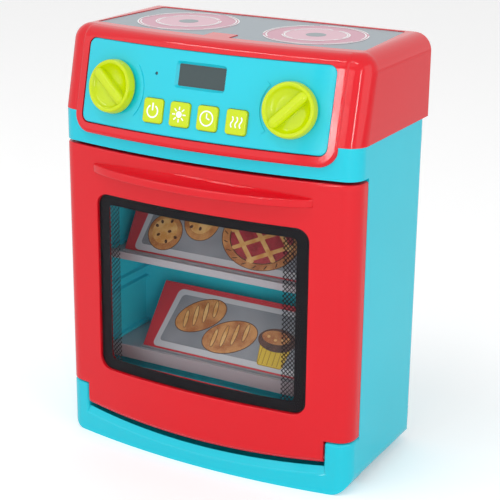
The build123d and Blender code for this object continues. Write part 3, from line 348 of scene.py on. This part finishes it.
def patch(bm, centre, size, layer, ink, turned=0.0, corner=0.0, lean=0.0):
    """A rectangular pad; its corners may be rounded, and lean draws its upper end in."""
    verts = bmesh.ops.create_grid(bm, x_segments=1, y_segments=1, size=0.5)["verts"]
    for vert in verts:
        pull = 1 - lean * (vert.co.y + 0.5)
        vert.co = Vector((vert.co.x * size[0] * pull, vert.co.y * size[1], 0))
    if corner > 0:
        rounded = bmesh.ops.bevel(bm, geom=verts, offset=corner, affect="VERTICES", segments=5,
                                  profile=0.5, material=-1)
        verts = list({v for f in rounded["faces"] for v in f.verts} | set(rounded["verts"]))
    face = max({f for v in verts for f in v.link_faces}, key=lambda f: f.calc_area())
    verts = list(face.verts)
    bmesh.ops.transform(bm, matrix=Matrix.Translation((*centre, 0))
                        @ Matrix.Rotation(turned, 4, "Z"), verts=verts)
    return thicken(bm, [face], layer, ink)


def arc(bm, centre, radii, layer, ink, start_deg=0.0, sweep_deg=360.0, steps=48):
    """A ring, or a part of one, made by spinning a short line round its centre."""
    first = [bm.verts.new((centre[0] + r * math.cos(math.radians(start_deg)),
                           centre[1] + r * math.sin(math.radians(start_deg)), 0)) for r in radii]
    line = bm.edges.new(first)
    whole = sweep_deg >= 360.0
    before = set(bm.faces)
    bmesh.ops.spin(bm, geom=[*first, line], cent=(*centre, 0), axis=(0, 0, 1),
                   angle=math.radians(sweep_deg), steps=steps, use_merge=whole)
    flat = [f for f in bm.faces if f not in before]
    return thicken(bm, flat, layer, ink)


def finish_piece(name, bm, materials, body, place=None):
    """Turn the drawing into an object that rides on a body of the oven."""
    bmesh.ops.recalc_face_normals(bm, faces=bm.faces)
    bmesh.ops.scale(bm, vec=(MM, MM, MM), verts=bm.verts)
    if place is not None:
        bmesh.ops.transform(bm, matrix=place, verts=bm.verts)
    mesh = bpy.data.meshes.new(name)
    bm.to_mesh(mesh)
    bm.free()
    for material in materials:
        mesh.materials.append(material)
    piece = bpy.data.objects.new(name, mesh)
    bpy.context.scene.collection.objects.link(piece)
    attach(piece, body)
    print(name, "faces:", len(mesh.polygons))
    return piece


def lying(origin, across, outward):
    """Where a flat drawing goes: its origin in mm, its X axis, and the way it faces."""
    z = Vector(outward).normalized()
    x = Vector(across).normalized()
    axes = Matrix((x, z.cross(x), z)).transposed().to_4x4()
    return Matrix.Translation(Vector(origin) * MM) @ axes


# %% [markdown]
# ## Rings on the hob
#
# Each burner is printed as a rose disc with a paler one inside it, thin white arcs that are
# broken here and there, and a grey middle. The arcs are spun round the burner's centre.

# %% Hob print
BURNER_X, BURNER_DEPTH = 49.2, 62.7
DISC, PALE_DISC, MIDDLE = 35.3, 22.6, 6.8    # radii
ARCS = ((34.9, 4), (33.0, 3), (22.4, 3), (20.9, 4))    # radius, and how many pieces it is in
ARC_HALF = 0.45               # half the width of an arc
ARC_SHARE = 0.86              # how much of its circle an arc covers
hob_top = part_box("hob_plate")[1].z / MM
rose = printed("rose_ink", "CE90A4", "CA8BA0", rough=0.32)
pale_pink = printed("pale_pink_ink", "DCADBB", "D8A8B7", rough=0.32)
white_ink = printed("white_ink", "FAFAFA", "F5F5F5", rough=0.35)
middle_ink = printed("grey_teal_ink", "7F8E93", "7A898E", rough=0.32)

bm = bmesh.new()
for side in (-1, 1):
    centre = (side * BURNER_X, FRONT_LINE + BURNER_DEPTH)
    spot(bm, centre, (DISC, DISC), 0, 0, sides=96)
    spot(bm, centre, (PALE_DISC, PALE_DISC), 1, 1, sides=72)
    spot(bm, centre, (MIDDLE, MIDDLE), 2, 3, sides=40)
    for radius, breaks in ARCS:
        whole = 360 / breaks
        for number in range(breaks):
            arc(bm, centre, (radius - ARC_HALF, radius + ARC_HALF), 3, 2,
                start_deg=number * whole + 3 * radius + side * 20,
                sweep_deg=ARC_SHARE * whole, steps=28)
finish_piece("hob_print", bm, [rose, pale_pink, white_ink, middle_ink], "cabinet",
             Matrix.Translation((0, 0, (hob_top + INK_GAP) * MM)))

# %% [markdown]
# ## Signs on the buttons
#
# The buttons carry plain white signs: a power sign, a sun for heat, a clock and waves of steam.
# Each is drawn round the middle of its button and laid on the button's face, which leans back
# with the hood.

# %% Button signs
BUTTON_HIGH = 249.0
BUTTON_X = (-31.9, -11.1, 9.6, 30.5)
PANEL_INSET = 0.6             # the panel's bow lies this far inside the oven's
PANEL_PROUD = 1.1             # and the hood carries it this far forward
LEAN_FROM = 240.0             # height at which the lean of the hood is nought
SIGN_OUT = 1.93               # from the panel to the button's face
panel_out = Vector((0, -1, math.tan(HOOD_LEAN))).normalized()


def power_sign(bm):
    arc(bm, (0, -0.4), (3.5, 4.5), 0, 0, start_deg=120, sweep_deg=300, steps=30)
    patch(bm, (0, 2.6), (1.1, 5.0), 0, 0)


def heat_sign(bm):
    spot(bm, (0, 0), (2.1, 2.1), 0, 0)
    for number in range(8):
        angle = math.radians(45 * number)
        patch(bm, (4.0 * math.cos(angle), 4.0 * math.sin(angle)), (2.2, 0.85), 0, 0, turned=angle)


def clock_sign(bm):
    arc(bm, (0, 0), (4.2, 5.1), 0, 0, steps=48)
    patch(bm, (0, 1.5), (0.85, 3.4), 0, 0)
    patch(bm, (1.1, -0.2), (2.6, 0.85), 0, 0, turned=-0.3)


def steam_sign(bm):
    for x in (-3.2, 0, 3.2):
        arc(bm, (x - 1.0, 1.7), (1.9, 2.8), 0, 0, start_deg=-48, sweep_deg=96, steps=10)
        arc(bm, (x + 2.3, -1.7), (1.9, 2.8), 0, 0, start_deg=132, sweep_deg=96, steps=10)


signs = (power_sign, heat_sign, clock_sign, steam_sign)
for number, (x, draw) in enumerate(zip(BUTTON_X, signs), start=1):
    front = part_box(f"button_{number}")[0].y / MM
    bm = bmesh.new()
    draw(bm)
    face_y = (bow_y(x, PANEL_INSET) - PANEL_PROUD
              + (BUTTON_HIGH - LEAN_FROM) * math.tan(HOOD_LEAN))
    origin = Vector((x, face_y, BUTTON_HIGH)) + SIGN_OUT * panel_out
    print(f"button_{number} starts at Y", round(front, 2), "and its sign at", round(origin.y, 2))
    finish_piece(f"button_sign_{number}", bm, [white_ink], f"button_{number}",
                 lying(origin, (1, 0, 0), panel_out))

# %% [markdown]
# ## Net on the window
#
# A strip of black net is printed down each side of the window. A grid of square cells is turned
# by 45 degrees and stretched, each cell is inset, and the inner faces are taken out, which
# leaves the net. Planes cut it to the strip, and each point is then moved onto the bow.

# %% Window net
NET_X = (63.4, 72.9)
NET_Z = (62.7, 177.5)
CELL = (2.9, 3.3)             # width and height of one diamond
SPARE_CELLS = 6               # more rows than the strip is long, for the cuts
THREAD = 0.86                 # width of a thread
NET_INSET = 2.63              # behind the pane's back
NET_THICK = 0.1


def cut(bm, at, normal):
    """Cut the drawing and drop what lies beyond the plane."""
    bmesh.ops.bisect_plane(bm, geom=[*bm.verts, *bm.edges, *bm.faces], dist=1e-5, plane_co=at,
                           plane_no=normal, clear_outer=True)


def net_strip(side):
    """One strip of net, flat in X and Z."""
    bm = bmesh.new()
    count = math.ceil((NET_Z[1] - NET_Z[0]) / CELL[1]) + SPARE_CELLS
    bmesh.ops.create_grid(bm, x_segments=count, y_segments=count, size=count / 2)
    bmesh.ops.rotate(bm, cent=(0, 0, 0), matrix=Matrix.Rotation(math.radians(45), 3, "Z"),
                     verts=bm.verts)
    bmesh.ops.scale(bm, vec=(CELL[0] / math.sqrt(2), CELL[1] / math.sqrt(2), 1), verts=bm.verts)
    middle = (side * sum(NET_X) / 2, sum(NET_Z) / 2)
    far_off = [f for f in bm.faces
               if abs(f.calc_center_median().x) > (NET_X[1] - NET_X[0]) / 2 + CELL[0]]
    bmesh.ops.delete(bm, geom=far_off, context="FACES")
    grown = bmesh.ops.inset_individual(bm, faces=bm.faces[:], thickness=THREAD / 2)
    frame_faces = set(grown["faces"])
    bmesh.ops.delete(bm, geom=[f for f in bm.faces if f not in frame_faces], context="FACES")
    bmesh.ops.translate(bm, vec=(*middle, 0), verts=bm.verts)
    x_low, x_high = sorted((side * NET_X[0], side * NET_X[1]))
    cut(bm, (x_low, 0, 0), (-1, 0, 0))
    cut(bm, (x_high, 0, 0), (1, 0, 0))
    cut(bm, (0, NET_Z[0], 0), (0, -1, 0))
    cut(bm, (0, NET_Z[1], 0), (0, 1, 0))
    thicken(bm, bm.faces[:], 0, 0, thick=NET_THICK)
    for vert in bm.verts:
        x, z, deep = vert.co
        vert.co = Vector((x, bow_y(x, NET_INSET) + deep, z))
    return bm


for side, name in ((-1, "left_net"), (1, "right_net")):
    finish_piece(name, net_strip(side), [black_ink], "door")

# %% [markdown]
# ## Pictures of food
#
# Two cards lean on the racks. Each shows a baking tray with food on it, drawn here as flat
# shapes: a dark one for the outline, a lighter one on it, and toppings. The food is of plain
# kinds: cookies and a lattice pie above, bread rolls and puddings in yellow dishes below.

# %% Inks of the cards
def baked(name, code, crust, size_mm):
    """Ink of baked food: it browns in soft patches."""
    material, tree, shader, place = start(name, IOR=1.5, Roughness=0.4)
    patches = add(tree, "TexNoise", {"Scale": 1000 / size_mm, "Detail": 3.0}, {"Vector": place})
    span = add(tree, "MapRange", {"From Min": 0.38, "From Max": 0.66},
               {"Value": patches.outputs["Fac"]})
    tone = add(tree, "Mix", {6: colour(code), 7: colour(crust)}, {0: span.outputs[0]},
               data_type="RGBA")
    tree.links.new(tone.outputs[2], shader.inputs["Base Color"])
    return material


tray_rim = printed("tray_rim_ink", "D2D4D9", "C8CACF", rough=0.4)
tray_floor = baked("tray_floor_ink", "9A9EA5", "82878E", 40.0)
outline_ink = printed("brown_outline_ink", "5A3424", "50301F", rough=0.4)
crust_ink = baked("crust_ink", "D79A5C", "B06A3A", 9.0)
golden_ink = baked("golden_ink", "EDC27E", "D99A50", 7.0)
chocolate_ink = baked("chocolate_ink", "5E3A30", "472A24", 5.0)
berry_ink = baked("berry_ink", "B83A44", "8E2832", 4.0)
yellow_ink = printed("yellow_dish_ink", "E6C63C", "DDBA30", rough=0.4)
dish_shade = printed("dish_shade_ink", "B88E22", "AE841C", rough=0.4)
CARD_INKS = [tray_rim, tray_floor, outline_ink, crust_ink, golden_ink, chocolate_ink, berry_ink,
             yellow_ink, dish_shade, white_ink]
RIM, FLOOR, LINE, CRUST, GOLD, CHOC, BERRY, YELLOW, SHADE, WHITE = range(len(CARD_INKS))
print("card inks:", len(CARD_INKS))


# %% Food shapes
TRAY = (140, 46)              # width and height of a tray
CARD_DEPTH = 31.0             # from the oven's front corners to the foot of a card
CARD_THICK = 1.0
CARD_CLEAR = 0.05             # air under a card's foot


def tray(bm, width, high):
    """The tray: a pale rim and, on it, the darker floor."""
    patch(bm, (0, high / 2 + 2), (width, high), 0, RIM, corner=4.0, lean=0.10)
    patch(bm, (0, high / 2 + 2.4), (width - 9, high - 8.5), 1, FLOOR, corner=3.0, lean=0.10)


def cookie(bm, centre, radius, turned):
    """A round cookie with chips of chocolate."""
    spot(bm, centre, (radius, radius * 0.96), 2, LINE, turned)
    spot(bm, centre, (radius - 0.5, radius * 0.96 - 0.5), 3, CRUST, turned)
    spot(bm, (centre[0] - 0.6, centre[1] + 0.8), (radius * 0.72, radius * 0.66), 4, GOLD, turned)
    for number, reach in enumerate((0.25, 0.62, 0.5, 0.66, 0.4, 0.68, 0.6)):
        angle = turned + 2.4 * number
        chip = (centre[0] + reach * radius * math.cos(angle),
                centre[1] + reach * radius * math.sin(angle))
        spot(bm, chip, (1.5, 1.1), 5, CHOC, angle, sides=10)


def roll(bm, centre, long, turned):
    """A long bread roll with scores across its crust."""
    wide = long * 0.56
    spot(bm, centre, (long, wide), 2, LINE, turned)
    spot(bm, centre, (long - 0.6, wide - 0.6), 3, CRUST, turned)
    across = Vector((-math.sin(turned), math.cos(turned)))
    along = Vector((math.cos(turned), math.sin(turned)))
    for share in (-0.55, -0.18, 0.2, 0.58):
        middle = Vector(centre) + along * share * long + across * 0.1 * wide
        width = wide * math.sqrt(1 - share ** 2) * 0.7
        spot(bm, middle, (width, 1.9), 4, LINE, turned + 1.15, sides=20)
        spot(bm, middle, (width - 0.4, 1.4), 5, GOLD, turned + 1.15, sides=20)


def lattice_pie(bm, centre, radius, flat):
    """A pie seen from a slant: crust, berry filling and strips of pastry crossing over it."""
    first = len(bm.verts)
    spot(bm, (0, 0), (radius, radius), 2, LINE, sides=64)
    spot(bm, (0, 0), (radius - 0.6, radius - 0.6), 3, CRUST, sides=64)
    spot(bm, (0, 0), (radius * 0.8, radius * 0.8), 4, LINE, sides=56)
    spot(bm, (0, 0), (radius * 0.77, radius * 0.77), 5, BERRY, sides=56)
    for turned in (0.6, 0.6 + math.pi / 2):
        for share in (-0.5, 0, 0.5):
            off = Vector((-math.sin(turned), math.cos(turned))) * share * radius
            long = 2 * math.sqrt((0.79 * radius) ** 2 - off.length ** 2)
            layer = 6 if turned < 1 else 7
            patch(bm, off, (long, 3.6), layer, GOLD, turned, corner=1.4)
    for number in range(20):
        angle = math.radians(18 * number)
        rim = 0.9 * radius * Vector((math.cos(angle), math.sin(angle)))
        spot(bm, rim, (0.5, 2.4), 4, LINE, angle + 0.9, sides=8)
    bm.verts.ensure_lookup_table()
    drawn = bm.verts[first:]
    bmesh.ops.scale(bm, vec=(1, flat, 1), verts=drawn)
    bmesh.ops.translate(bm, vec=(*centre, 0), verts=drawn)


def pudding(bm, centre, wide):
    """A browned pudding in a ribbed yellow dish, seen from its side."""
    x, y = centre
    patch(bm, (x, y), (wide * 0.86, 17.0), 2, SHADE, turned=math.pi, corner=2.0, lean=0.2)
    patch(bm, (x, y), (wide * 0.86 - 1, 16.0), 3, YELLOW, turned=math.pi, corner=1.8, lean=0.2)
    for share in (-0.32, -0.2, -0.07, 0.07, 0.2, 0.32):
        patch(bm, (x + share * wide, y), (0.6, 14.6), 4, SHADE)
    spot(bm, (x, y + 11.4), (wide * 0.52, 8.6), 4, LINE)
    spot(bm, (x, y + 11.4), (wide * 0.52 - 0.5, 8.1), 5, CHOC)
    spot(bm, (x - 1.5, y + 13.2), (wide * 0.38, 5.0), 6, CRUST)
    for share in (-0.25, -0.05, 0.15, 0.3):
        spot(bm, (x + share * wide, y + 11.0 + 9 * abs(share)), (1.3, 1.0), 7, GOLD, sides=10)


def card_place(card_x, foot_top, slope_deg):
    """The picture side of a card that leans back from its foot on the rack."""
    slope = math.radians(slope_deg)
    picture_foot = foot_top + CARD_THICK * math.cos(slope) + CARD_CLEAR
    origin = Vector((card_x, FRONT_LINE + CARD_DEPTH, picture_foot))
    out = Vector((0, -math.sin(slope), math.cos(slope)))
    return lying(origin + INK_GAP * out, (1, 0, 0), out)


# %% Upper card
bm = bmesh.new()
tray(bm, *TRAY)
cookie(bm, (-48, 18), 14.0, 0.3)
cookie(bm, (-21, 31), 15.0, 1.4)
lattice_pie(bm, (28, 26), 31.0, 0.74)
finish_piece("upper_card_picture", bm, CARD_INKS, "upper_rack",
             card_place(-7.5, 131.6, 59.0))

# %% Lower card
bm = bmesh.new()
tray(bm, *TRAY)
roll(bm, (-39, 31), 21.0, 0.5)
roll(bm, (-11, 20), 22.0, 0.35)
pudding(bm, (26, 13.5), 29)
pudding(bm, (53, 21), 26)
finish_piece("lower_card_picture", bm, CARD_INKS, "lower_rack",
             card_place(7.0, 60.0, 51.5))

# %% [markdown]
# ## Floor and light
#
# The oven stands on a pale floor in soft light. The world gives an even fill, two large softboxes
# give the direction, and three narrow strips draw the crisp lines on the roundings. The world is
# pure white where the camera sees it, also in gloss and through clear parts, but it lights the
# oven at a lower level. The floor has a faint glow for the camera alone, which lifts it to white
# and leaves the shadow on it.

# %% Floor
floor_paint = bpy.data.materials.new("pale_floor")
floor_paint.use_nodes = True
floor_tree = floor_paint.node_tree
floor_shader = floor_tree.nodes["Principled BSDF"]
floor_shader.inputs["Base Color"].default_value = colour("FAFAFA")
floor_shader.inputs["Roughness"].default_value = 0.7
floor_shader.inputs["Emission Color"].default_value = (1, 1, 1, 1)
FLOOR_GLOW = 0.20             # lifts the floor to white where the camera sees it
floor_path = add(floor_tree, "LightPath")
floor_glow = add(floor_tree, "Math", {1: FLOOR_GLOW}, {0: floor_path.outputs["Is Camera Ray"]},
                 operation="MULTIPLY")
floor_tree.links.new(floor_glow.outputs[0], floor_shader.inputs["Emission Strength"])
bm = bmesh.new()
bmesh.ops.create_grid(bm, x_segments=1, y_segments=1, size=4.0)
floor_mesh = bpy.data.meshes.new("floor")
bm.to_mesh(floor_mesh)
bm.free()
floor = bpy.data.objects.new("floor", floor_mesh)
floor.data.materials.append(floor_paint)
bpy.context.scene.collection.objects.link(floor)
print("floor:", [round(v, 2) for v in floor.dimensions])

# %% World
FILL = 0.64                   # how bright the world is where it only lights the oven
world = bpy.data.worlds.new("studio")
bpy.context.scene.world = world
world.use_nodes = True
tree = world.node_tree
tree.nodes.clear()
path = add(tree, "LightPath")
seen = add(tree, "Math", operation="MAXIMUM",
           links={0: path.outputs["Is Camera Ray"], 1: path.outputs["Is Glossy Ray"]})
seen = add(tree, "Math", operation="MAXIMUM",
           links={0: seen.outputs[0], 1: path.outputs["Is Transmission Ray"]})
level = add(tree, "MapRange", {"To Min": FILL, "To Max": 1.0}, {"Value": seen.outputs[0]})
sky = add(tree, "Background", {"Color": (1, 1, 1, 1)}, {"Strength": level.outputs[0]})
add(tree, "OutputWorld", links={"Surface": sky.outputs[0]})
print("world fill:", FILL)


# %% Lamps
OVEN_MIDDLE = Vector((0, 0, 0.15))


def lamp(name, at, size, power):
    """A lamp, size wide and high in metres and power in watts, that faces the oven's middle."""
    light = bpy.data.lights.new(name, "AREA")
    light.shape, light.energy = "RECTANGLE", power
    light.size, light.size_y = size
    holder = bpy.data.objects.new(name, light)
    bpy.context.scene.collection.objects.link(holder)
    holder.location = at
    holder.rotation_euler = (Vector(at) - OVEN_MIDDLE).to_track_quat("Z", "Y").to_euler()
    return holder


lamps = [lamp("front_lamp", (-0.75, -1.15, 1.0), (1.5, 1.5), 4.6),
         lamp("side_lamp", (1.45, -0.35, 0.75), (1.2, 1.2), 5.0),
         lamp("top_strip", (-0.36, -0.66, 1.70), (1.5, 0.06), 5.5),
         lamp("low_strip", (-0.03, -1.46, 0.42), (0.03, 0.6), 1.2),
         lamp("corner_strip", (0.93, -1.22, 0.40), (0.05, 0.7), 3.5)]
bpy.context.scene.view_settings.view_transform = "Standard"
print("lamps:", [(holder.name, holder.data.energy) for holder in lamps])
